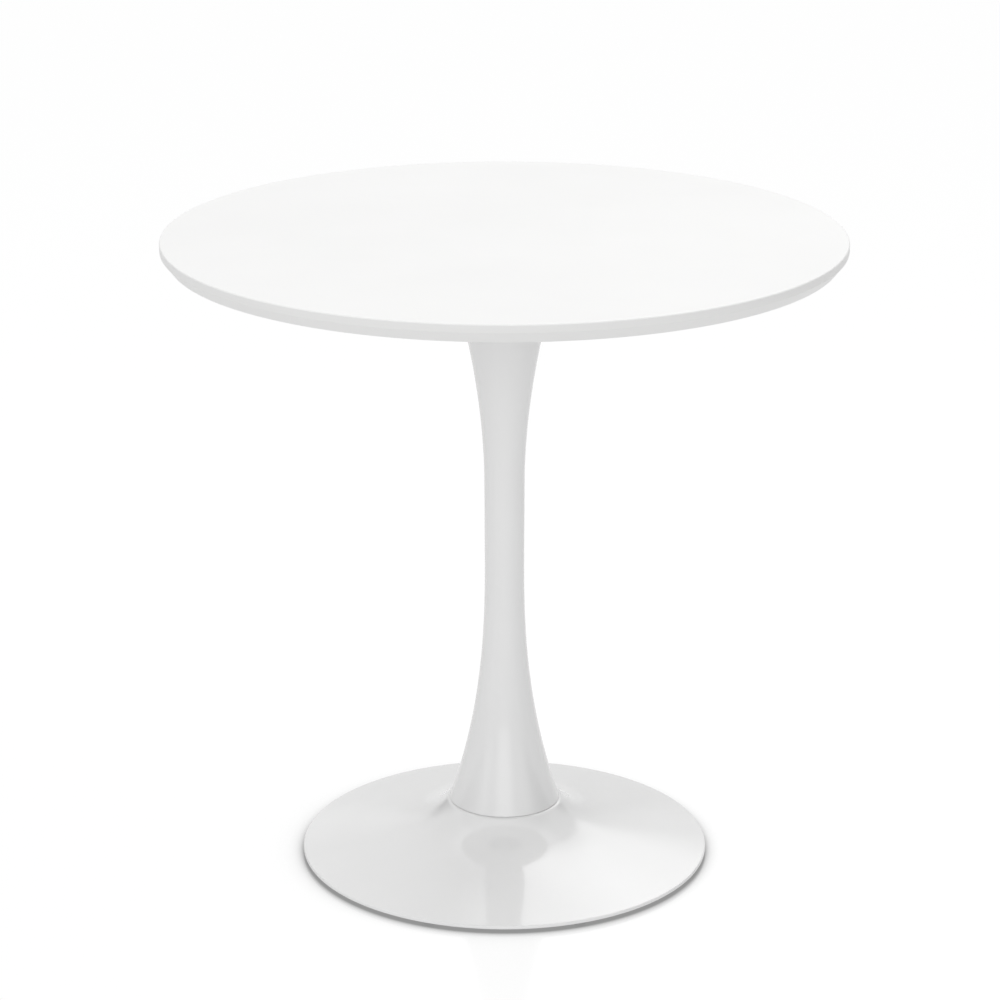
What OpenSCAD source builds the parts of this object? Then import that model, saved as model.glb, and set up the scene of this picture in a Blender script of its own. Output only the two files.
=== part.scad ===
// Round pedestal table: a bevelled disc top on a trumpet-shaped column and a low domed base.
// Millimetres, +Z up. The origin is on the floor, on the axis of the column.

/* [Table] */
// Height from the floor to the upper face of the top
table_h = 762; // [720:1:780]

/* [Top] */
// Diameter of the top
top_d = 787; // [700:1:900]
// Thickness of the top
top_t = 22; // [20:1:28]
// Height of the upright band of the top's edge
top_band_h = 9.5; // [6:0.5:12]
// How far the bevel below the band runs inwards
top_bevel_in = 10; // [4:1:16]
// Radius of the top's upper edge
top_edge_r = 2; // [1:0.5:4]
// Diameter of the steel plate that carries the top
plate_d = 260; // [240:5:320]
// Thickness of the steel plate that carries the top
plate_t = 5; // [5:0.5:6]
// Number of screws that hold the top to its plate
top_screws = 6; // [4:1:8]
// Distance of those screws from the axis
top_screw_r = 110; // [100:1:112]

/* [Column] */
// Radius of the column where it stands on the base
foot_r = 66; // [60:1:70]
// Radius at the bottom of the slim stretch
waist_r = 23.3; // [20:0.1:28]
// Radius at the top of the slim stretch
neck_r = 23.7; // [20:0.1:28]
// Radius of the column under the top's plate
head_r = 68; // [60:1:74]
// Height above the floor at which the slim stretch begins
waist_z = 365; // [320:1:400]
// Height above the floor at which the slim stretch ends
neck_z = 465; // [430:1:520]
// Exponent of the lower flare: a larger value keeps the column slim for longer
foot_curve = 2.4; // [1.8:0.05:3]
// Exponent of the upper flare
head_curve = 1.87; // [1.5:0.01:2.6]
// Wall of the column, measured level
column_wall = 2; // [1.5:0.1:3]
// Thickness of the two threaded discs welded into the column's ends
flange_t = 8; // [8:0.5:10]

/* [Base] */
// Diameter of the base at its rim
base_d = 488; // [460:1:540]
// Height of the flat seat on which the column's gasket lies
seat_z = 65.4; // [60:0.2:72]
// Height of the dome's surface at the rim
rim_h = 8; // [8:0.1:10]
// Slope of the dome at the rim, in degrees
rim_tilt = 9.9; // [9:0.1:11]
// Slope of the dome next to the seat, in degrees
hub_tilt = 49; // [45:1:55]
// Thickness of the base's spun sheet
sheet_t = 2; // [1.5:0.1:2]
// Thickness of the gasket between the column and the base
gasket_t = 0.6; // [0.4:0.1:1]
// Radius of the cast weight under the dome
weight_r = 140; // [120:1:142]
// Thickness of the weight's plate
weight_t = 10; // [8:1:11]

/* [Feet] */
// Number of rubber pads under the rim
pads = 8; // [6:1:12]
// Height of a pad, which is also the gap between the rim and the floor
pad_h = 4.5; // [4:0.1:5]
// Diameter of a pad
pad_d = 14; // [12:1:18]

/* [Hidden] */
$fn = 96;

// Overlap of a cutter past the face that it cuts
eps = 0.5;

// Heights that follow from the sizes above
top_z = table_h - top_t;
head_z = top_z - plate_t;
foot_z = seat_z + gasket_t;

// Outlines of the column and the dome are drawn in this many steps
column_steps = 48;
dome_steps = 36;
fillet_steps = 6;

// The dome: a straight slope from the rim, plus a flare that fades out away from the hub,
// and a rounded shoulder where the flare meets the flat seat
rim_r = base_d / 2;
seat_r = foot_r + 0.3;
shoulder_r = 5;
rim_slope = tan(rim_tilt);
flare_r = seat_r + shoulder_r * sin(hub_tilt);
flare_z = seat_z - shoulder_r * (1 - cos(hub_tilt));
flare_rise = flare_z - rim_h - rim_slope * (rim_r - flare_r);
flare_fade = flare_rise / (tan(hub_tilt) - rim_slope);

// The rim's lip: the sheet turns down with its own thickness as the outer radius
lip_r = rim_r - sheet_t;
dome_end_r = lip_r + sheet_t * sin(rim_tilt);

// M8 bolts that join the column to the base and to the top's plate
m8_d = 8;
m8_clear_r = 4.5;
m8_tapped_r = 4;
m8_bolts = 4;
m8_circle_r = 42;
m8_head_d = 13;
m8_head_h = 8;
m8_key = 6;
m8_key_depth = 4;
m8_length = 25;
m8_washer_d = 16;
m8_washer_t = 1.6;
m8_spring_d = 14.4;
m8_spring_t = 2;
m8_spring_split = 1.2;
m8_sunk_d = 16;
m8_sunk_h = 4;
m8_sunk_length = 12;
m8_sunk_key = 5;
m8_sunk_key_depth = 2.5;

// M6 screws and inserts that join the top to its plate
m6_d = 6;
m6_clear_r = 3.3;
m6_head_d = 10.5;
m6_head_h = 3.3;
m6_head_flat_r = 2.9;
m6_key = 4;
m6_key_depth = 2;
m6_length = 18;
m6_washer_d = 12;
m6_washer_t = 1.6;
insert_d = 10;
insert_length = 12;
insert_collar_d = 12.6;
insert_collar_t = 1.2;
insert_hole_depth = 14;

// Openings left in the middle of the column's discs and the gasket, and of the sheet
centre_hole_r = 20;
sheet_hole_r = 10;

// The cast weight: a plate with a ribbed boss that backs the seat of the base
weight_z = 12;
boss_r = 58;
boss_draft = 3;
pocket_r = 11;
pocket_z = seat_z - sheet_t - 11.4;
ribs = 8;
rib_t = 7;
rib_end_r = 126;
rib_top_z = 54;

// The flat ring welded inside the rim, and the pads glued under it
ring_t = 1.5;
ring_width = 23;
pad_r = lip_r - 15.5;
pad_chamfer = 0.8;

// Colours
lacquer_white = [0.96, 0.96, 0.95];
coat_white = [0.93, 0.93, 0.93];
coat_black = [0.10, 0.10, 0.11];
zinc = [0.72, 0.73, 0.75];
black_oxide = [0.16, 0.16, 0.17];
brass = [0.78, 0.66, 0.36];
iron = [0.23, 0.23, 0.24];
rubber_black = [0.07, 0.07, 0.07];
rubber_grey = [0.80, 0.80, 0.80];

// Outer radius of the column at a height
function column_r(z) =
    z < waist_z ? waist_r + (foot_r - waist_r) * pow((waist_z - z) / (waist_z - foot_z), foot_curve)
    : z > neck_z ? neck_r + (head_r - neck_r) * pow((z - neck_z) / (head_z - neck_z), head_curve)
    : waist_r + (neck_r - waist_r) * (z - waist_z) / (neck_z - waist_z);

// Points up the column, set in from its outer face
function column_points(inset) = [
    for (i = [0:column_steps])
        let (z = foot_z + (head_z - foot_z) * i / column_steps)
        [column_r(z) - inset, z]
];

// Flare of the dome at a radius, as a share of its value next to the seat
function flare_share(r) = exp(-(r - flare_r) / flare_fade);

// Height and slope of the dome's outer face at a radius
function dome_z(r) = rim_h + rim_slope * (rim_r - r) + flare_rise * flare_share(r);
function dome_tilt(r) = atan(rim_slope + (tan(hub_tilt) - rim_slope) * flare_share(r));

// Points down the dome, set in from its outer face and closer together near the hub
function dome_points(inset) = [
    for (i = [0:dome_steps])
        let (r = flare_r + (dome_end_r - flare_r) * pow(i / dome_steps, 1.5))
        [r - inset * sin(dome_tilt(r)), dome_z(r) - inset * cos(dome_tilt(r))]
];

// Points of an arc about a centre, from one slope to another, without its end points
function arc_points(centre, r, from, to) = [
    for (i = [1:fillet_steps - 1])
        let (a = from + (to - from) * i / fillet_steps)
        centre + r * [sin(a), cos(a)]
];

function reversed(points) = [for (i = [len(points) - 1:-1:0]) points[i]];

// Copies the children to equal angles on a circle about the axis
module around(count, r, start = 0) {
    for (i = [0:count - 1])
        rotate(start + i * 360 / count) translate([r, 0, 0]) children();
}

// Flat ring that stands on z = 0
module ring(outer_r, inner_r, h) {
    rotate_extrude() translate([inner_r, 0]) square([outer_r - inner_r, h]);
}

// Hexagonal key recess, cut upwards from z = 0
module key_recess(across_flats, depth) {
    translate([0, 0, -eps]) cylinder(d = across_flats / cos(30), h = depth + eps, $fn = 6);
}

// Cap screw with its head below z = 0 and its shank above
module cap_screw() {
    difference() {
        union() {
            translate([0, 0, -m8_head_h]) cylinder(d = m8_head_d, h = m8_head_h);
            cylinder(d = m8_d, h = m8_length);
        }
        translate([0, 0, -m8_head_h]) key_recess(m8_key, m8_key_depth);
    }
}

// Button-head screw with its domed head below z = 0 and its shank above
module button_screw() {
    rim = m6_head_d / 2;
    difference() {
        union() {
            rotate_extrude() polygon(concat(
                [[0, 0], [0, -m6_head_h]],
                [for (i = [0:fillet_steps])
                    let (a = 90 * i / fillet_steps)
                    [m6_head_flat_r + (rim - m6_head_flat_r) * sin(a), -m6_head_h * cos(a)]]));
            cylinder(d = m6_d, h = m6_length);
        }
        translate([0, 0, -m6_head_h]) key_recess(m6_key, m6_key_depth);
    }
}

// Countersunk screw with its flat face at z = 0 and its shank below
module sunk_screw() {
    difference() {
        union() {
            translate([0, 0, -m8_sunk_h]) cylinder(d1 = m8_d, d2 = m8_sunk_d, h = m8_sunk_h);
            translate([0, 0, -m8_sunk_length]) cylinder(d = m8_d, h = m8_sunk_length);
        }
        rotate([180, 0, 0]) key_recess(m8_sunk_key, m8_sunk_key_depth);
    }
}

// Spring washer: a ring with one narrow split
module spring_washer() {
    difference() {
        ring(m8_spring_d / 2, m8_d / 2 + 0.1, m8_spring_t);
        translate([0, -m8_spring_split / 2, -eps])
            cube([m8_spring_d, m8_spring_split, m8_spring_t + 2 * eps]);
    }
}

// Holes on the M8 bolt circle, from z = 0 upwards
module m8_holes(r, h) {
    translate([0, 0, -eps]) around(m8_bolts, m8_circle_r) cylinder(r = r, h = h + 2 * eps);
}

module tabletop() {
    r = top_d / 2;
    color(lacquer_white) difference() {
        rotate_extrude() polygon(concat(
            [[0, top_z], [r - top_bevel_in, top_z], [r, table_h - top_band_h]],
            [[r, table_h - top_edge_r]],
            reversed(arc_points([r - top_edge_r, table_h - top_edge_r], top_edge_r, 0, 90)),
            [[r - top_edge_r, table_h], [0, table_h]]));
        around(top_screws, top_screw_r) translate([0, 0, top_z - eps]) {
            cylinder(d = insert_d, h = insert_hole_depth + eps);
            cylinder(d = insert_collar_d, h = insert_collar_t + eps);
        }
    }
}

module tabletop_inserts() {
    color(brass) around(top_screws, top_screw_r) translate([0, 0, top_z]) {
        ring(insert_d / 2, m6_d / 2, insert_length);
        ring(insert_collar_d / 2, m6_d / 2, insert_collar_t);
    }
}

module top_plate() {
    color(coat_black) translate([0, 0, head_z]) difference() {
        cylinder(d = plate_d, h = plate_t);
        m8_holes(m8_clear_r, plate_t);
        around(m8_bolts, m8_circle_r) translate([0, 0, plate_t - m8_sunk_h])
            cylinder(d1 = m8_d, d2 = m8_sunk_d, h = m8_sunk_h);
        around(top_screws, top_screw_r) translate([0, 0, -eps])
            cylinder(r = m6_clear_r, h = plate_t + 2 * eps);
    }
}

module top_plate_screws() {
    color(zinc) around(top_screws, top_screw_r)
        translate([0, 0, head_z - m6_washer_t]) button_screw();
}

module top_plate_washers() {
    color(zinc) around(top_screws, top_screw_r)
        translate([0, 0, head_z - m6_washer_t]) ring(m6_washer_d / 2, m6_clear_r, m6_washer_t);
}

module head_bolts() {
    color(black_oxide) around(m8_bolts, m8_circle_r) translate([0, 0, top_z]) sunk_screw();
}

// Disc that fills the column's bore from a height, with tapped holes and an open middle
module column_disc(z) {
    difference() {
        intersection() {
            rotate_extrude() polygon(concat([[0, head_z], [0, foot_z]], column_points(column_wall)));
            translate([0, 0, z]) cylinder(r = max(foot_r, head_r), h = flange_t);
        }
        translate([0, 0, z]) m8_holes(m8_tapped_r, flange_t);
        translate([0, 0, z - eps]) cylinder(r = centre_hole_r, h = flange_t + 2 * eps);
    }
}

module column_head_flange() {
    color(zinc) column_disc(head_z - flange_t);
}

module column_shell() {
    color(coat_white) rotate_extrude()
        polygon(concat(column_points(0), reversed(column_points(column_wall))));
}

module column_foot_flange() {
    color(zinc) column_disc(foot_z);
}

module foot_gasket() {
    color(rubber_grey) translate([0, 0, seat_z]) difference() {
        ring(foot_r, centre_hole_r, gasket_t);
        m8_holes(m8_clear_r, gasket_t);
    }
}

module base_shell() {
    lip_z = dome_z(dome_end_r) - sheet_t * cos(rim_tilt);
    color(coat_white) difference() {
        rotate_extrude() polygon(concat(
            [[sheet_hole_r, seat_z], [seat_r, seat_z]],
            arc_points([seat_r, seat_z - shoulder_r], shoulder_r, 0, hub_tilt),
            dome_points(0),
            arc_points([lip_r, lip_z], sheet_t, rim_tilt, 90),
            [[rim_r, lip_z], [rim_r, pad_h], [lip_r, pad_h]],
            reversed(dome_points(sheet_t)),
            arc_points([seat_r, seat_z - shoulder_r], shoulder_r - sheet_t, hub_tilt, 0),
            [[seat_r, seat_z - sheet_t], [sheet_hole_r, seat_z - sheet_t]]));
        translate([0, 0, seat_z - sheet_t]) m8_holes(m8_clear_r, sheet_t);
    }
}

module base_weight() {
    plate_top = weight_z + weight_t;
    boss_top = seat_z - sheet_t;
    color(iron) difference() {
        union() {
            rotate_extrude() polygon([
                [0, weight_z], [weight_r, weight_z], [weight_r, plate_top],
                [boss_r + boss_draft, plate_top], [boss_r, boss_top], [0, boss_top]]);
            around(ribs, 0, 180 / ribs) rotate([90, 0, 0])
                linear_extrude(height = rib_t, center = true)
                polygon([[boss_r - boss_draft, plate_top - 1], [rib_end_r, plate_top - 1],
                    [boss_r - boss_draft, rib_top_z]]);
        }
        translate([0, 0, weight_z]) m8_holes(m8_clear_r, boss_top - weight_z);
        around(m8_bolts, m8_circle_r) translate([0, 0, weight_z - eps])
            cylinder(r = pocket_r, h = pocket_z - weight_z + eps);
    }
}

module base_bolts() {
    color(black_oxide) around(m8_bolts, m8_circle_r)
        translate([0, 0, pocket_z - m8_washer_t - m8_spring_t]) cap_screw();
}

module base_spring_washers() {
    color(zinc) around(m8_bolts, m8_circle_r)
        translate([0, 0, pocket_z - m8_washer_t - m8_spring_t]) spring_washer();
}

module base_flat_washers() {
    color(zinc) around(m8_bolts, m8_circle_r)
        translate([0, 0, pocket_z - m8_washer_t]) ring(m8_washer_d / 2, m8_d / 2 + 0.2, m8_washer_t);
}

module rim_ring() {
    color(coat_white) translate([0, 0, pad_h]) ring(lip_r, lip_r - ring_width, ring_t);
}

module floor_pads() {
    r = pad_d / 2;
    color(rubber_black) around(pads, pad_r, 180 / pads) rotate_extrude()
        polygon([[0, 0], [r - pad_chamfer, 0], [r, pad_chamfer], [r, pad_h], [0, pad_h]]);
}

tabletop();
tabletop_inserts();
top_plate();
top_plate_screws();
top_plate_washers();
head_bolts();
column_head_flange();
column_shell();
column_foot_flange();
foot_gasket();
base_shell();
base_weight();
base_bolts();
base_spring_washers();
base_flat_washers();
rim_ring();
floor_pads();
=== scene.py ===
# Looks of the round pedestal table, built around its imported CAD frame. Metres, +Z up.
import math

import bmesh
import bpy
from mathutils import Matrix, Vector


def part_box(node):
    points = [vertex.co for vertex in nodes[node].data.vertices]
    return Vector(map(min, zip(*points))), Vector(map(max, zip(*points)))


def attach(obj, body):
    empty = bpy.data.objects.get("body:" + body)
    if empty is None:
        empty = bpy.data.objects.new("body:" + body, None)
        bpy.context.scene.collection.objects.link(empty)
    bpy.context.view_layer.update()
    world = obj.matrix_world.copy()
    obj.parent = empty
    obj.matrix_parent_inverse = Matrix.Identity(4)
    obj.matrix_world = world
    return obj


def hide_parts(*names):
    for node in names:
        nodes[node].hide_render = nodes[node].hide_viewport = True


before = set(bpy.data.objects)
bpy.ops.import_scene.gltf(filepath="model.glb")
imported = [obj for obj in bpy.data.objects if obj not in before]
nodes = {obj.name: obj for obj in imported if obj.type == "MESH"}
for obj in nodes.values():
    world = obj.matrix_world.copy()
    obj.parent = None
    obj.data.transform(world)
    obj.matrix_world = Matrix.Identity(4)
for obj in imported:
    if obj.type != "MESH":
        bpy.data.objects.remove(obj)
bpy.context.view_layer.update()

# Heights and radii that the frame gives
top_low, top_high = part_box("tabletop")
plate_low, plate_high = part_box("top_plate")
column_low, column_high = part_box("column_shell")
base_low, base_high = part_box("base_shell")
ring_low, ring_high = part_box("rim_ring")
pad_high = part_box("floor_pads")[1]
weight_low, weight_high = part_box("base_weight")
gasket_low, gasket_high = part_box("foot_gasket")
TOP_R = min(-top_low.x, -top_low.y, top_high.x, top_high.y)
PLATE_R = min(plate_high.x, plate_high.y)
RIM_R = min(base_high.x, base_high.y)
WEIGHT_R = min(weight_high.x, weight_high.y)
FOOT_Z = column_low.z
HEAD_Z = column_high.z
SEAT_Z = base_high.z

# Top
BAND_H = 0.0095
BEVEL_IN = 0.010
TOP_EDGE_R = 0.0020
BAND_EDGE_R = 0.0012
LOWER_EDGE_R = 0.0015

# Column: two flares on either side of a slim stretch
FOOT_R = 0.066
WAIST_R, NECK_R, HEAD_R = 0.0233, 0.0237, 0.068
WAIST_Z, NECK_Z = 0.365, 0.465
FOOT_CURVE, HEAD_CURVE = 2.4, 1.87
COLUMN_WALL = 0.002
FOOT_EDGE_R = 0.0006

# Base: a straight slope from the rim plus a flare that fades out away from the seat
SHEET = 0.002
RIM_H = 0.008
RIM_SLOPE = math.tan(math.radians(9.9))
HUB_TILT = math.radians(49)
SEAT_R = FOOT_R + 0.0003
SHOULDER_R = 0.005
FLARE_R = SEAT_R + SHOULDER_R * math.sin(HUB_TILT)
FLARE_Z = SEAT_Z - SHOULDER_R * (1 - math.cos(HUB_TILT))
FLARE_RISE = FLARE_Z - RIM_H - RIM_SLOPE * (RIM_R - FLARE_R)
FLARE_FADE = FLARE_RISE / (math.tan(HUB_TILT) - RIM_SLOPE)
LIP_R = RIM_R - SHEET
SHEET_HOLE_R = 0.010
CENTRE_HOLE_R = 0.020

# Fasteners
M8_CIRCLE, M8_COUNT, M8_R, M8_CLEAR_R, M8_PITCH = 0.042, 4, 0.004, 0.0045, 0.00125
M6_CIRCLE, M6_COUNT, M6_R, M6_CLEAR_R, M6_PITCH = 0.110, 6, 0.003, 0.0033, 0.001
INSERT_R, INSERT_COLLAR_R, INSERT_COLLAR_H, INSERT_HOLE_H = 0.005, 0.0063, 0.0012, 0.014
SINK_H = 0.004
M6_WASHER_R, M8_WASHER_R = 0.006, 0.008
POCKET_R, POCKET_TOP = 0.011, 0.052

# Floor pads
PAD_COUNT = 8
PAD_R = 0.007
PAD_CIRCLE = 0.2265

# Cast weight: a plate, a boss under the seat and ribs between them
WEIGHT_T = 0.010
BOSS_R, BOSS_DRAFT = 0.058, 0.003
RIB_COUNT, RIB_END_R, RIB_TOP = 8, 0.126, 0.054
RIB_T = 0.007
RIB_TOE_H, RIB_SINK = 0.004, 0.002


# ---------------------------------------------------------------- outlines

def arc(centre, radius, start, end, steps):
    """Points about a centre, where an angle is measured from straight up towards larger r."""
    angles = [start + (end - start) * i / steps for i in range(steps + 1)]
    return [(centre[0] + radius * math.sin(a), centre[1] + radius * math.cos(a)) for a in angles]


def rounded(corners, steps=4):
    """Points of a closed outline, given as (r, z, fillet radius) corners."""
    points = []
    for i, (r, z, fillet) in enumerate(corners):
        here = Vector((r, z))
        if not fillet:
            points.append(tuple(here))
            continue
        before = (Vector(corners[i - 1][:2]) - here).normalized()
        after = (Vector(corners[(i + 1) % len(corners)][:2]) - here).normalized()
        half = before.angle(after) / 2
        centre = here + (before + after).normalized() * (fillet / math.sin(half))
        first = here + before * (fillet / math.tan(half)) - centre
        last = here + after * (fillet / math.tan(half)) - centre
        sweep = first.angle(last)
        for k in range(steps + 1):
            t = k / steps
            offset = first * math.sin((1 - t) * sweep) + last * math.sin(t * sweep)
            points.append(tuple(centre + offset / math.sin(sweep)))
    return points


def upright(r, low, high, step):
    """Points up a straight wall, close enough together to carry a thread."""
    count = max(1, round((high - low) / step))
    return [(r, low + (high - low) * i / count) for i in range(count + 1)]


def column_r(z):
    """Outer radius of the column at a height."""
    if z < WAIST_Z:
        return WAIST_R + (FOOT_R - WAIST_R) * ((WAIST_Z - z) / (WAIST_Z - FOOT_Z)) ** FOOT_CURVE
    if z > NECK_Z:
        return NECK_R + (HEAD_R - NECK_R) * ((z - NECK_Z) / (HEAD_Z - NECK_Z)) ** HEAD_CURVE
    return WAIST_R + (NECK_R - WAIST_R) * (z - WAIST_Z) / (NECK_Z - WAIST_Z)


def column_points(inset, low, high, steps):
    heights = [low + (high - low) * i / steps for i in range(steps + 1)]
    return [(column_r(z) - inset, z) for z in heights]


def flare_share(r):
    return math.exp(-(r - FLARE_R) / FLARE_FADE)


def dome_points(inset, steps):
    """Points down the dome from the seat's shoulder to the lip, set in from its outer face."""
    end_r = LIP_R + SHEET * math.sin(math.atan(RIM_SLOPE))
    points = []
    for i in range(steps + 1):
        r = FLARE_R + (end_r - FLARE_R) * (i / steps) ** 1.5
        z = RIM_H + RIM_SLOPE * (RIM_R - r) + FLARE_RISE * flare_share(r)
        tilt = math.atan(RIM_SLOPE + (math.tan(HUB_TILT) - RIM_SLOPE) * flare_share(r))
        points.append((r - inset * math.sin(tilt), z - inset * math.cos(tilt)))
    return points


# ---------------------------------------------------------------- meshes

def new_object(name, bm):
    bmesh.ops.recalc_face_normals(bm, faces=bm.faces)
    mesh = bpy.data.meshes.new(name)
    bm.to_mesh(mesh)
    bm.free()
    obj = bpy.data.objects.new(name, mesh)
    bpy.context.scene.collection.objects.link(obj)
    return obj


def lathe(name, outline, segments, radius=None, gap=0.0, slant=0.0):
    """Turns a closed outline about Z. A gap leaves an open slot, and slant tilts its ends.

    Where the outline starts and ends on the axis, flat caps close it.
    """
    bm = bmesh.new()
    capped = outline[0][0] == 0
    points = outline[1:-1] if capped else outline
    count = segments + 1 if gap else segments
    rings = []
    for s in range(count):
        share = s / segments
        ring = []
        for r, z in points:
            angle = math.tau * share
            if gap:
                angle = gap / 2 + (math.tau - gap) * share + slant * z
            new_r = radius(r, z, angle) if radius else r
            ring.append(bm.verts.new((new_r * math.cos(angle), new_r * math.sin(angle), z)))
        rings.append(ring)
    strips = len(points) - 1 if capped else len(points)
    for s in range(segments):
        a, b = rings[s], rings[(s + 1) % count]
        for k in range(strips):
            n = (k + 1) % len(points)
            bm.faces.new((a[k], b[k], b[n], a[n]))
    if capped:
        bm.faces.new([ring[0] for ring in reversed(rings)])
        bm.faces.new([ring[-1] for ring in rings])
    if gap:
        bm.faces.new(rings[0])
        bm.faces.new(list(reversed(rings[-1])))
    return new_object(name, bm)


def modifier(obj, name, kind, **settings):
    made = obj.modifiers.new(name, kind)
    for key, value in settings.items():
        setattr(made, key, value)
    return made


def apply_modifiers(obj):
    graph = bpy.context.evaluated_depsgraph_get()
    old = obj.data
    obj.data = bpy.data.meshes.new_from_object(obj.evaluated_get(graph))
    obj.modifiers.clear()
    bpy.data.meshes.remove(old)


def combine(obj, other, operation):
    """Boolean of obj with other, which is used up."""
    modifier(obj, "boolean", "BOOLEAN", operation=operation, object=other, solver="EXACT")
    apply_modifiers(obj)
    bpy.data.objects.remove(other)


def around(count, circle, start=0.0):
    """Places at equal angles on a circle about Z."""
    turns = [Matrix.Rotation(start + math.tau * i / count, 4, "Z") for i in range(count)]
    return [turn @ Matrix.Translation((circle, 0, 0)) for turn in turns]


def repeat(obj, places):
    """One object that holds a copy of obj at each place. The original is used up."""
    bm = bmesh.new()
    for place in places:
        first = len(bm.verts)
        bm.from_mesh(obj.data)
        bm.verts.ensure_lookup_table()
        bmesh.ops.transform(bm, matrix=place, verts=bm.verts[first:])
    name = obj.name
    bpy.data.objects.remove(obj)
    made = new_object(name, bm)
    made.name = name
    return made


def drill(obj, places, r, low, high, segments=32):
    """Cuts the same round hole at each place."""
    bore = [(0, low), (r, low), (r, high), (0, high)]
    combine(obj, repeat(lathe("cutter", bore, segments), places), "DIFFERENCE")


def key_recess(obj, across_flats, low, high):
    """Cuts a hexagonal recess on the axis."""
    r = across_flats / 2 / math.cos(math.pi / 6)
    combine(obj, lathe("cutter", [(0, low), (r, low), (r, high), (0, high)], 6), "DIFFERENCE")


def shade(obj, angle=35):
    """Smooth shading that keeps flat faces flat next to small fillets."""
    obj.data.shade_smooth()
    obj.data.set_sharp_from_angle(angle=math.radians(angle))
    modifier(obj, "normals", "WEIGHTED_NORMAL", mode="FACE_AREA", weight=50, keep_sharp=True)


def finish_piece(obj, node, material, angle=35):
    """The piece stands for a CAD node and rides with it."""
    obj.data.materials.clear()
    obj.data.materials.append(material)
    shade(obj, angle)
    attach(obj, "root")
    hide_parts(node)
    return obj


# ---------------------------------------------------------------- materials

class Surface:
    """A Principled material whose colour, roughness and bump come from noise in metres."""

    def __init__(self, name, **sockets):
        self.material = bpy.data.materials.new(name)
        self.material.use_nodes = True
        self.tree = self.material.node_tree
        self.shader = self.tree.nodes["Principled BSDF"]
        self.place = self.add("ShaderNodeTexCoord").outputs["Object"]
        self.height = None
        for key, value in sockets.items():
            self.shader.inputs[key.replace("_", " ")].default_value = value

    def add(self, kind, **settings):
        node = self.tree.nodes.new(kind)
        for key, value in settings.items():
            setattr(node, key, value)
        return node

    def link(self, output, target):
        self.tree.links.new(output, target)

    def noise(self, size, detail=2.0, stretch=(1, 1, 1), rough=0.5):
        """Noise whose features are about size metres across."""
        mapping = self.add("ShaderNodeMapping")
        mapping.inputs["Scale"].default_value = stretch
        self.link(self.place, mapping.inputs["Vector"])
        node = self.add("ShaderNodeTexNoise")
        node.inputs["Scale"].default_value = 1 / size
        node.inputs["Detail"].default_value = detail
        node.inputs["Roughness"].default_value = rough
        self.link(mapping.outputs[0], node.inputs["Vector"])
        return node.outputs["Fac"]

    def cells(self, size):
        node = self.add("ShaderNodeTexVoronoi", feature="F1")
        node.inputs["Scale"].default_value = 1 / size
        self.link(self.place, node.inputs["Vector"])
        return node.outputs["Distance"]

    def spread(self, value, low, high, start=0.3, end=0.7):
        """Maps a noise value from start..end to low..high."""
        node = self.add("ShaderNodeMapRange")
        for key, number in zip(("From Min", "From Max", "To Min", "To Max"), (start, end, low, high)):
            node.inputs[key].default_value = number
        self.link(value, node.inputs["Value"])
        return node.outputs[0]

    def colour(self, value, first, second):
        """Blends two colours by a value from 0 to 1."""
        node = self.add("ShaderNodeMix", data_type="RGBA")
        ends = {"A": (*first, 1), "B": (*second, 1)}
        for socket in node.inputs:
            if socket.type == "RGBA" and socket.name in ends:
                socket.default_value = ends[socket.name]
        self.link(value, node.inputs["Factor"])
        result = next(s for s in node.outputs if s.type == "RGBA")
        self.link(result, self.shader.inputs["Base Color"])

    def roughness(self, value):
        self.link(value, self.shader.inputs["Roughness"])

    def bump(self, value, depth, strength=1.0):
        """Adds a relief of the given depth in metres on top of those added before."""
        node = self.add("ShaderNodeBump")
        node.inputs["Distance"].default_value = depth
        node.inputs["Strength"].default_value = strength
        self.link(value, node.inputs["Height"])
        if self.height is not None:
            self.link(self.height, node.inputs["Normal"])
        self.height = node.outputs["Normal"]
        self.link(self.height, self.shader.inputs["Normal"])


def lacquer(name, first, second):
    """Satin white lacquer on fibreboard: a soft sheen with a very fine peel."""
    s = Surface(name, Specular_IOR_Level=0.5)
    s.colour(s.spread(s.noise(0.30, 3), 0, 1), first, second)
    s.roughness(s.spread(s.noise(0.05, 4), 0.30, 0.38))
    s.bump(s.noise(0.0022, 2), 0.00004, 0.5)
    s.bump(s.noise(0.0004, 2), 0.00001, 0.5)
    return s.material


def backing():
    """Sealed underside of the board: matt, with the mottle of pressed fibres."""
    s = Surface("sealed_board_backing", Specular_IOR_Level=0.4)
    s.colour(s.spread(s.noise(0.004, 6, rough=0.7), 0, 1), (0.74, 0.735, 0.72), (0.80, 0.795, 0.785))
    s.roughness(s.spread(s.noise(0.01, 4), 0.55, 0.70))
    s.bump(s.noise(0.0015, 6, rough=0.7), 0.00008, 0.6)
    return s.material


def powder_coat(name, first, second, low, high, peel):
    """Glossy baked coat on steel, with the slight orange peel of a sprayed finish."""
    s = Surface(name, Specular_IOR_Level=0.5, Coat_Weight=0.6, Coat_Roughness=0.03, Coat_IOR=1.55)
    s.colour(s.spread(s.noise(0.12, 3), 0, 1), first, second)
    s.roughness(s.spread(s.noise(0.03, 4), low, high))
    s.bump(s.noise(0.005, 2), peel, 0.6)
    s.bump(s.noise(0.0012, 2), peel / 5, 0.5)
    return s.material


def black_powder():
    """Fine matt black structure coat on the top's plate."""
    s = Surface("black_structure_coat", Specular_IOR_Level=0.4)
    s.colour(s.spread(s.noise(0.02, 4), 0, 1), (0.022, 0.022, 0.024), (0.038, 0.038, 0.040))
    s.roughness(s.spread(s.noise(0.006, 3), 0.50, 0.68))
    s.bump(s.cells(0.0009), 0.00018, 0.8)
    s.bump(s.noise(0.0005, 3), 0.00004, 0.6)
    return s.material


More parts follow.
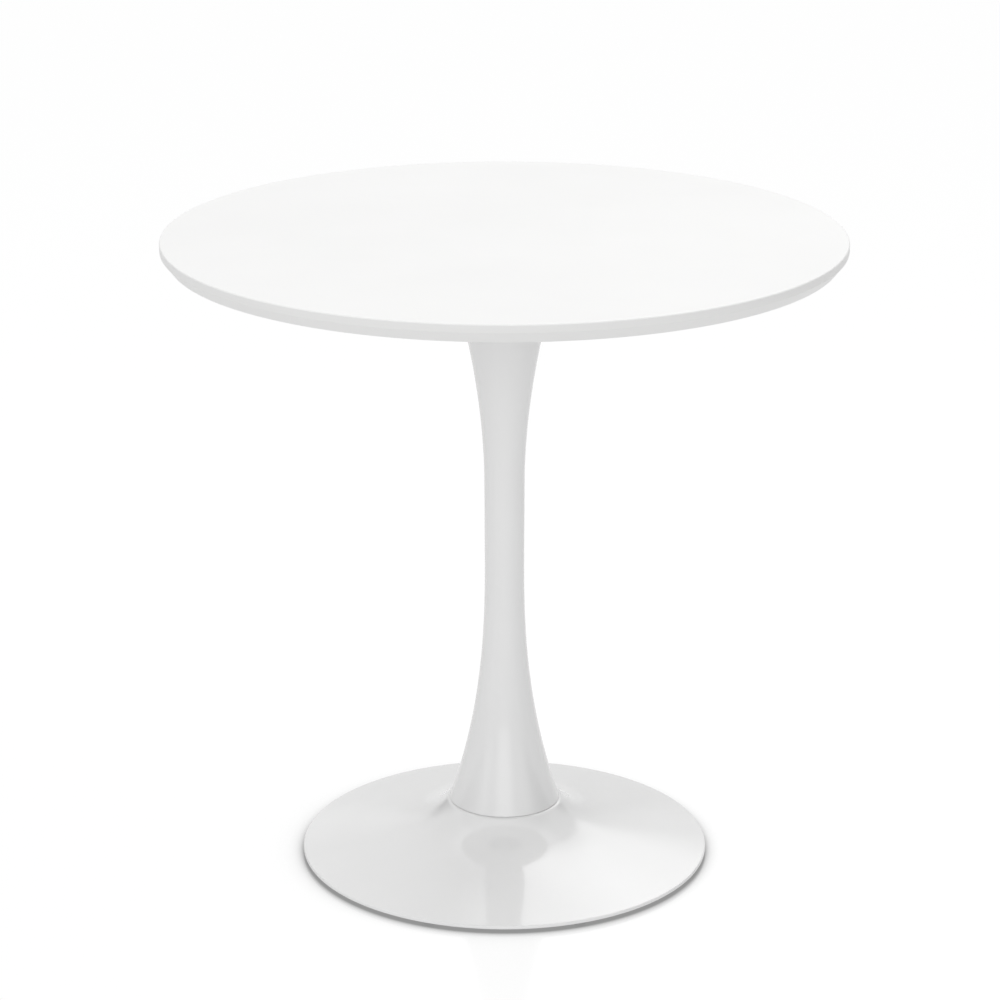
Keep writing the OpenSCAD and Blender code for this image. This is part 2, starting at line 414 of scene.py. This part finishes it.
def metal(name, first, second, low, high, tool_mark, depth):
    """Bare or plated metal with fine tool marks and slight staining."""
    s = Surface(name, Metallic=1.0)
    s.colour(s.spread(s.noise(0.008, 5, rough=0.65), 0, 1), first, second)
    s.roughness(s.spread(s.noise(0.003, 5), low, high))
    s.bump(s.noise(tool_mark, 3, stretch=(1, 1, 6)), depth, 0.5)
    return s.material


def cast_iron():
    """Sand-cast iron under a thin coat of black primer."""
    s = Surface("primed_cast_iron", Metallic=0.35, Specular_IOR_Level=0.4)
    mottle = s.spread(s.noise(0.012, 6, rough=0.7), 0, 1)
    s.colour(mottle, (0.030, 0.030, 0.032), (0.070, 0.066, 0.062))
    s.roughness(s.spread(s.noise(0.005, 5), 0.48, 0.72))
    s.bump(s.noise(0.0025, 6, rough=0.65), 0.00035, 0.7)
    s.bump(s.cells(0.0016), 0.00012, 0.5)
    return s.material


def rubber(name, first, second):
    """Matt moulded rubber with dust in its grain."""
    s = Surface(name, Specular_IOR_Level=0.35)
    s.colour(s.spread(s.noise(0.003, 5, rough=0.7), 0, 1), first, second)
    s.roughness(s.spread(s.noise(0.002, 4), 0.68, 0.85))
    s.bump(s.noise(0.0006, 4), 0.00008, 0.7)
    return s.material


LACQUER = lacquer("satin_white_lacquer", (0.860, 0.860, 0.855), (0.885, 0.885, 0.880))
# The edge lacquer is a darker grey than the top's. It is painted shade on the sideways and downward-facing
# band and bevel.
EDGE_LACQUER_PAINTED_SHADE = lacquer("satin_white_edge_lacquer_painted_shade", (0.785, 0.785, 0.780), (0.805, 0.805, 0.800))
BACKING = backing()
COLUMN_COAT = powder_coat("column_white_coat", (0.80, 0.80, 0.80), (0.82, 0.82, 0.82), 0.14, 0.20, 0.00005)
BASE_COAT = powder_coat("base_white_coat", (0.80, 0.80, 0.80), (0.82, 0.82, 0.82), 0.10, 0.16, 0.00004)
BLACK_COAT = black_powder()
ZINC = metal("bright_zinc", (0.62, 0.64, 0.68), (0.74, 0.73, 0.69), 0.20, 0.34, 0.0006, 0.00003)
BLACK_OXIDE = metal(
    "black_oxide", (0.035, 0.035, 0.040), (0.060, 0.056, 0.055), 0.28, 0.42, 0.0006, 0.00003)
TURNED_STEEL = metal("turned_steel", (0.42, 0.42, 0.43), (0.52, 0.50, 0.48), 0.28, 0.42, 0.0005, 0.00004)
BRASS = metal("turned_brass", (0.72, 0.55, 0.26), (0.80, 0.64, 0.36), 0.22, 0.34, 0.0005, 0.00003)
IRON = cast_iron()
RUBBER = rubber("black_rubber", (0.014, 0.014, 0.014), (0.034, 0.033, 0.032))
GREY_RUBBER = rubber("grey_rubber", (0.58, 0.58, 0.58), (0.64, 0.64, 0.635))


# ---------------------------------------------------------------- pieces

def make_tabletop():
    band_z = top_high.z - BAND_H
    inner = TOP_R - BEVEL_IN
    outline = [(0, top_low.z)] + rounded([
        (0.02, top_low.z, 0), (inner, top_low.z, LOWER_EDGE_R), (TOP_R, band_z, BAND_EDGE_R),
        (TOP_R, top_high.z, TOP_EDGE_R), (0.02, top_high.z, 0)], 6)[1:-1] + [(0, top_high.z)]
    top = lathe("tabletop_lacquered", outline, 384)
    places = around(M6_COUNT, M6_CIRCLE)
    drill(top, places, INSERT_R, top_low.z - 0.001, top_low.z + INSERT_HOLE_H)
    drill(top, places, INSERT_COLLAR_R, top_low.z - 0.001, top_low.z + INSERT_COLLAR_H)
    finish_piece(top, "tabletop", LACQUER)
    top.data.materials.append(EDGE_LACQUER_PAINTED_SHADE)
    top.data.materials.append(BACKING)
    # The band, bevel and other sideways faces take the darker edge lacquer, which is painted shade. The
    # flat underside takes the backing.
    for face in top.data.polygons:
        if face.normal.z < -0.99:
            face.material_index = 2
        elif face.normal.z < 0.3:
            face.material_index = 1


def make_column():
    outer = column_points(0, FOOT_Z, HEAD_Z, 150)
    inner = column_points(COLUMN_WALL, FOOT_Z, HEAD_Z, 60)
    edge = arc((FOOT_R - FOOT_EDGE_R, FOOT_Z + FOOT_EDGE_R), FOOT_EDGE_R, math.pi, math.pi * 0.62, 4)
    outline = edge + [p for p in outer if p[1] > FOOT_Z + 1.5 * FOOT_EDGE_R] + list(reversed(inner))
    finish_piece(lathe("column_coated", outline, 256), "column_shell", COLUMN_COAT)


def make_gasket():
    low, high = gasket_low.z, gasket_high.z
    edge = 0.0002
    r = FOOT_R
    gasket = lathe("foot_gasket_rubber", rounded([
        (CENTRE_HOLE_R, low, 0), (r, low, edge), (r, high, edge), (CENTRE_HOLE_R, high, 0)]), 192)
    drill(gasket, around(M8_COUNT, M8_CIRCLE), M8_CLEAR_R, low - SHEET, high + SHEET)
    finish_piece(gasket, "foot_gasket", GREY_RUBBER)


def make_base():
    tilt = math.atan(RIM_SLOPE)
    outer = dome_points(0, 110)
    under = dome_points(SHEET, 50)
    lip_z = under[-1][1]
    low = base_low.z
    edge = 0.0005
    outline = [(SHEET_HOLE_R, SEAT_Z)]
    bend = (SEAT_R, SEAT_Z - SHOULDER_R)
    outline += arc(bend, SHOULDER_R, 0, HUB_TILT, 14)[:-1] + outer
    outline += arc((LIP_R, lip_z), SHEET, tilt, math.pi / 2, 10)[1:]
    outline += arc((RIM_R - edge, low + edge), edge, math.pi / 2, math.pi, 4)
    outline += arc((LIP_R + edge, low + edge), edge, math.pi, math.pi * 1.5, 4)
    outline += list(reversed(under)) + arc(bend, SHOULDER_R - SHEET, HUB_TILT, 0, 8)[1:]
    outline += [(SHEET_HOLE_R, SEAT_Z - SHEET)]
    base = lathe("base_coated", list(reversed(outline)), 320)
    drill(base, around(M8_COUNT, M8_CIRCLE), M8_CLEAR_R, SEAT_Z - 3 * SHEET, SEAT_Z + SHEET)
    finish_piece(base, "base_shell", BASE_COAT)


def make_rim_ring():
    low, high = ring_low.z, ring_high.z
    width = 0.023
    edge = 0.0003
    inner = LIP_R - width
    ring = lathe("rim_ring_coated", rounded([
        (inner, low, edge), (LIP_R, low, 0), (LIP_R, high, 0), (inner, high, edge)]), 256)
    finish_piece(ring, "rim_ring", BASE_COAT)


def make_floor_pads():
    height = pad_high.z
    foot_edge, top_edge, dish = 0.0010, 0.0003, 0.0004
    outline = [(0, dish), (PAD_R * 0.55, dish)] + rounded([
        (PAD_R * 0.55, dish, 0), (PAD_R * 0.72, 0, 0.0006), (PAD_R, 0, foot_edge),
        (PAD_R, height, top_edge), (PAD_R * 0.5, height, 0)])[1:] + [(0, height)]
    places = around(PAD_COUNT, PAD_CIRCLE, math.pi / PAD_COUNT)
    pads = repeat(lathe("floor_pads_rubber", outline, 48), places)
    finish_piece(pads, "floor_pads", RUBBER)


def make_top_plate():
    low, high = plate_low.z, plate_high.z
    edge = 0.0006
    plate = lathe("top_plate_coated", [(0, low)] + rounded([
        (0.01, low, 0), (PLATE_R, low, edge), (PLATE_R, high, edge), (0.01, high, 0)])[1:-1]
        + [(0, high)], 192)
    drill(plate, around(M6_COUNT, M6_CIRCLE), M6_CLEAR_R, low - SHEET, high + SHEET)
    drill(plate, around(M8_COUNT, M8_CIRCLE), M8_CLEAR_R, low - SHEET, high + SHEET)
    over = high + SHEET
    sink = [(0, high - SINK_H), (M8_R, high - SINK_H), (2 * M8_R, high), (2 * M8_R, over), (0, over)]
    combine(plate, repeat(lathe("cutter", sink, 32), around(M8_COUNT, M8_CIRCLE)), "DIFFERENCE")
    finish_piece(plate, "top_plate", BLACK_COAT)


def thread(major, pitch, low, high):
    """Radius of a thread cut into a shank between two heights."""
    def radius(r, z, angle):
        if abs(r - major) > 1e-7 or z < low or z > high:
            return r
        fade = min(1.0, (z - low) / pitch, (high - z) / pitch)
        phase = (z / pitch - angle / math.tau) % 1
        return r - 0.6 * pitch * fade * (1 - abs(2 * phase - 1))
    return radius


def make_base_bolts():
    low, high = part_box("base_bolts")[0].z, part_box("base_bolts")[1].z
    head_h, head_r = 0.008, 0.0065
    seat = low + head_h
    edge = 0.0006
    shank = upright(M8_R, seat, high - edge, M8_PITCH / 6)
    outline = [(0, low)] + rounded([
        (0.001, low, 0), (head_r, low, edge), (head_r, seat, 0.0002), (M8_R, seat, 0)])[1:-1]
    outline += shank + [(M8_R - edge, high), (0, high)]
    bolt = lathe("base_bolts_threaded", outline, 36, thread(M8_R, M8_PITCH, seat + 0.003, high - edge))
    key_recess(bolt, 0.006, low - 0.001, low + 0.004)
    bolts = repeat(bolt, around(M8_COUNT, M8_CIRCLE))
    finish_piece(bolts, "base_bolts", BLACK_OXIDE)


def make_head_bolts():
    low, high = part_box("head_bolts")[0].z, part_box("head_bolts")[1].z
    neck = high - SINK_H
    edge = 0.0006
    outline = [(0, low), (M8_R - edge, low)] + upright(M8_R, low + edge, neck, M8_PITCH / 6)
    outline += [(2 * M8_R - 0.0002, high - 0.0002), (2 * M8_R - 0.0004, high), (0, high)]
    bolt = lathe("head_bolts_threaded", outline, 36, thread(M8_R, M8_PITCH, low + edge, neck))
    key_recess(bolt, 0.005, high - 0.0025, high + 0.001)
    bolts = repeat(bolt, around(M8_COUNT, M8_CIRCLE))
    finish_piece(bolts, "head_bolts", BLACK_OXIDE)


def make_top_screws():
    low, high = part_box("top_plate_screws")[0].z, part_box("top_plate_screws")[1].z
    head_h, head_r, flat_r = 0.0033, 0.00525, 0.0029
    seat = low + head_h
    edge = 0.0005
    dome = [(flat_r + (head_r - flat_r) * math.sin(a), seat - head_h * math.cos(a))
            for a in [math.pi / 2 * i / 8 for i in range(9)]]
    outline = [(0, low)] + dome + upright(M6_R, seat, high - edge, M6_PITCH / 6)
    outline += [(M6_R - edge, high), (0, high)]
    cut = thread(M6_R, M6_PITCH, seat + 0.002, high - edge)
    screw = lathe("top_plate_screws_threaded", outline, 36, cut)
    key_recess(screw, 0.004, low - 0.001, low + 0.002)
    screws = repeat(screw, around(M6_COUNT, M6_CIRCLE))
    finish_piece(screws, "top_plate_screws", ZINC)


def make_washers(node, name, outer, inner, count, circle):
    low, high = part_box(node)[0].z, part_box(node)[1].z
    edge = 0.00025
    washer = lathe(name, rounded([
        (inner, low, edge), (outer, low, edge), (outer, high, edge), (inner, high, edge)], 2), 48)
    finish_piece(repeat(washer, around(count, circle)), node, ZINC)


def make_spring_washers():
    low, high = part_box("base_spring_washers")[0].z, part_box("base_spring_washers")[1].z
    inner, outer, edge = M8_R + 0.0001, 0.0072, 0.0003
    section = rounded([
        (inner, low, edge), (outer, low, edge), (outer, high, edge), (inner, high, edge)], 2)
    washer = lathe("base_spring_washers_zinc", section, 40, gap=0.20, slant=70.0)
    places = around(M8_COUNT, M8_CIRCLE)
    finish_piece(repeat(washer, places), "base_spring_washers", ZINC)


def make_inserts():
    low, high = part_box("tabletop_inserts")[0].z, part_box("tabletop_inserts")[1].z
    collar = low + INSERT_COLLAR_H
    pitch = 0.0018
    outline = [(M6_R, low), (INSERT_COLLAR_R - 0.0002, low), (INSERT_COLLAR_R, low + 0.0002)]
    outline += [(INSERT_COLLAR_R, collar)] + upright(INSERT_R, collar, high - 0.0008, pitch / 8)
    outline += [(INSERT_R - 0.0008, high), (M6_R, high)]
    insert = lathe("tabletop_inserts_brass", outline, 40, thread(INSERT_R, pitch, collar, high - 0.0008))
    finish_piece(repeat(insert, around(M6_COUNT, M6_CIRCLE)), "tabletop_inserts", BRASS)


def make_weight():
    low, boss_top = weight_low.z, weight_high.z
    plate_top = low + WEIGHT_T
    body = lathe("base_weight_cast", [(0, low)] + rounded([
        (0.01, low, 0), (WEIGHT_R, low, 0.002), (WEIGHT_R, plate_top, 0.003),
        (BOSS_R + BOSS_DRAFT, plate_top, 0.006), (BOSS_R, boss_top, 0.001), (0.01, boss_top, 0)], 5)[1:-1]
        + [(0, boss_top)], 160)
    bm = bmesh.new()
    half = RIB_T / 2
    root = BOSS_R - BOSS_DRAFT
    foot = plate_top - RIB_SINK
    side = [(root, foot), (RIB_END_R, foot), (RIB_END_R, foot + RIB_TOE_H), (root, RIB_TOP)]
    for i in range(RIB_COUNT):
        turn = Matrix.Rotation(math.tau * (i + 0.5) / RIB_COUNT, 4, "Z")
        rows = [[bm.verts.new(turn @ Vector((r, y, z))) for r, z in side] for y in (-half, half)]
        bm.faces.new(rows[0])
        bm.faces.new(list(reversed(rows[1])))
        for k in range(4):
            n = (k + 1) % 4
            bm.faces.new((rows[0][k], rows[1][k], rows[1][n], rows[0][n]))
    combine(body, new_object("ribs", bm), "UNION")
    modifier(body, "cast", "REMESH", mode="VOXEL", voxel_size=0.0015)
    modifier(body, "smooth", "SMOOTH", factor=0.5, iterations=4)
    apply_modifiers(body)
    places = around(M8_COUNT, M8_CIRCLE)
    drill(body, places, M8_CLEAR_R, low - 0.01, boss_top + 0.01)
    drill(body, places, POCKET_R, low - 0.01, POCKET_TOP)
    finish_piece(body, "base_weight", IRON, 50)


make_tabletop()
make_column()
make_gasket()
make_base()
make_rim_ring()
make_floor_pads()
make_top_plate()
make_base_bolts()
make_head_bolts()
make_top_screws()
make_washers(
    "top_plate_washers", "top_plate_washers_zinc", M6_WASHER_R, M6_CLEAR_R, M6_COUNT, M6_CIRCLE)
make_washers(
    "base_flat_washers", "base_flat_washers_zinc", M8_WASHER_R, M8_R + 0.0002, M8_COUNT, M8_CIRCLE)
make_spring_washers()
make_inserts()
make_weight()
for name in ("column_head_flange", "column_foot_flange"):
    for slot in nodes[name].material_slots:
        slot.material = TURNED_STEEL


# ---------------------------------------------------------------- stage, light and camera

def make_floor():
    """A wide white floor that darkens only where something stands close over it."""
    bm = bmesh.new()
    bmesh.ops.create_grid(bm, x_segments=1, y_segments=1, size=12)
    floor = new_object("studio_floor", bm)
    if floor.data.polygons[0].normal.z < 0:
        floor.data.flip_normals()
    material = bpy.data.materials.new("studio_floor_white")
    material.use_nodes = True
    tree = material.node_tree
    tree.nodes.clear()
    new = tree.nodes.new
    link = tree.links.new
    near = new("ShaderNodeAmbientOcclusion")
    near.samples = 16
    near.inputs["Distance"].default_value = SHADE_REACH
    shade = new("ShaderNodeMapRange")
    shade.inputs["From Min"].default_value = SHADE_FULL
    shade.inputs["To Min"].default_value = FLOOR_SHADE
    link(near.outputs["AO"], shade.inputs["Value"])
    glow = new("ShaderNodeEmission")
    level = new("ShaderNodeMapRange")
    level.inputs["To Min"].default_value = FLOOR_FOR_LIGHT
    level.inputs["To Max"].default_value = FLOOR_FOR_VIEW
    path = new("ShaderNodeLightPath")
    link(path.outputs["Is Camera Ray"], level.inputs["Value"])
    link(shade.outputs[0], glow.inputs["Color"])
    link(level.outputs[0], glow.inputs["Strength"])
    gloss = new("ShaderNodeBsdfGlossy")
    gloss.inputs["Color"].default_value = (FLOOR_GLOSS,) * 3 + (1,)
    gloss.inputs["Roughness"].default_value = 0.12
    both = new("ShaderNodeAddShader")
    link(glow.outputs[0], both.inputs[0])
    link(gloss.outputs[0], both.inputs[1])
    below = new("ShaderNodeNewGeometry")
    clear = new("ShaderNodeBsdfTransparent")
    side = new("ShaderNodeMixShader")
    link(below.outputs["Backfacing"], side.inputs["Fac"])
    link(both.outputs[0], side.inputs[1])
    link(clear.outputs[0], side.inputs[2])
    link(side.outputs[0], new("ShaderNodeOutputMaterial").inputs["Surface"])
    floor.data.materials.append(material)


# Levels of the floor and of the studio, where 1 is the white of the backdrop
FLOOR_FOR_VIEW, FLOOR_FOR_LIGHT, FLOOR_GLOSS = 0.92, 0.77, 0.09
# The contact shadow: how far it reaches, the openness at which it is darkest, and how dark it gets
SHADE_REACH, SHADE_FULL, FLOOR_SHADE = 0.14, 0.5, 0.30
ROOM_LEVEL = 0.13


class SoftBox:
    """A soft-edged patch of the studio, in degrees. Azimuth 0 is behind the table, 90 to its right."""

    def __init__(self, name, level, azimuth, elevation, half_width, half_height, blur):
        self.name = name
        self.level = level
        self.azimuth = azimuth
        self.elevation = elevation
        self.half_width = half_width
        self.half_height = half_height
        self.blur = blur


SOFT_BOXES = (
    SoftBox("upper room", 0.42, 0, 60, 180, 40, 8),
    SoftBox("upper back", 0.43, 0, 60, 80, 40, 12),
    SoftBox("upper left", 0.20, 225, 60, 65, 40, 12),
    SoftBox("overhead", 0.55, 0, 90, 180, 35, 8),
    SoftBox("front wall", 0.76, 180, 5, 60, 20, 15),
    SoftBox("front key", 0.86, 180, 10, 18, 20, 10),
    SoftBox("low left", 0.25, 260, 5, 40, 18, 12),
    SoftBox("back wall", 0.65, 6, 5, 34, 16, 6),
    SoftBox("panel", 0.94, 16, 41, 18, 17, 5),
    SoftBox("panel core", 0.52, 15, 46, 8, 11, 5),
)


def make_studio():
    """A white backdrop to look at, and a soft studio for light and reflections."""
    world = bpy.data.worlds.new("studio")
    bpy.context.scene.world = world
    world.use_nodes = True
    tree = world.node_tree
    new, link = tree.nodes.new, tree.links.new
    place = new("ShaderNodeTexCoord")
    axes = new("ShaderNodeSeparateXYZ")
    link(place.outputs["Generated"], axes.inputs[0])
    x, y, z = axes.outputs[0], axes.outputs[1], axes.outputs[2]

    def maths(operation, *values):
        node = new("ShaderNodeMath")
        node.operation = operation
        for socket, value in zip(node.inputs, values):
            if isinstance(value, (int, float)):
                socket.default_value = value
            else:
                link(value, socket)
        return node.outputs[0]

    def within(angle, half, blur):
        node = new("ShaderNodeMapRange")
        node.interpolation_type = "SMOOTHSTEP"
        link(maths("ABSOLUTE", angle), node.inputs["Value"])
        node.inputs["From Min"].default_value = half + blur
        node.inputs["From Max"].default_value = half - blur
        return node.outputs[0]

    elevation = maths("DEGREES", maths("ARCSINE", z))
    total = ROOM_LEVEL
    for box in SOFT_BOXES:
        turn = math.radians(box.azimuth)
        sine, cosine = math.sin(turn), math.cos(turn)
        along = maths("ADD", maths("MULTIPLY", x, sine), maths("MULTIPLY", y, cosine))
        across = maths("SUBTRACT", maths("MULTIPLY", x, cosine), maths("MULTIPLY", y, sine))
        mask = within(maths("SUBTRACT", elevation, box.elevation), box.half_height, box.blur)
        if box.half_width < 180:
            sideways = maths("DEGREES", maths("ARCTAN2", across, along))
            mask = maths("MULTIPLY", mask, within(sideways, box.half_width, box.blur))
        total = maths("ADD", total, maths("MULTIPLY", mask, box.level))
    path = new("ShaderNodeLightPath")
    seen = path.outputs["Is Camera Ray"]
    strength = maths("ADD", maths("MULTIPLY", total, maths("SUBTRACT", 1.0, seen)), seen)
    link(strength, tree.nodes["Background"].inputs["Strength"])
    tree.nodes["Background"].inputs["Color"].default_value = (1, 1, 1, 1)


# The camera, in metres and degrees
LENS, SENSOR, SHIFT_X = 116.36, 36, -0.0045
CAMERA_AWAY, CAMERA_UP, CAMERA_TILT = 3.6073, 1.6311, 18.24


def make_camera():
    data = bpy.data.cameras.new("camera")
    camera = bpy.data.objects.new("camera", data)
    bpy.context.scene.collection.objects.link(camera)
    data.sensor_width = SENSOR
    data.lens = LENS
    data.shift_x = SHIFT_X
    data.clip_end = 60
    camera.location = (0, -CAMERA_AWAY, CAMERA_UP)
    camera.rotation_euler = (math.radians(90 - CAMERA_TILT), 0, 0)
    bpy.context.scene.camera = camera


make_floor()
make_studio()
make_camera()
bpy.context.scene.view_settings.view_transform = "Standard"
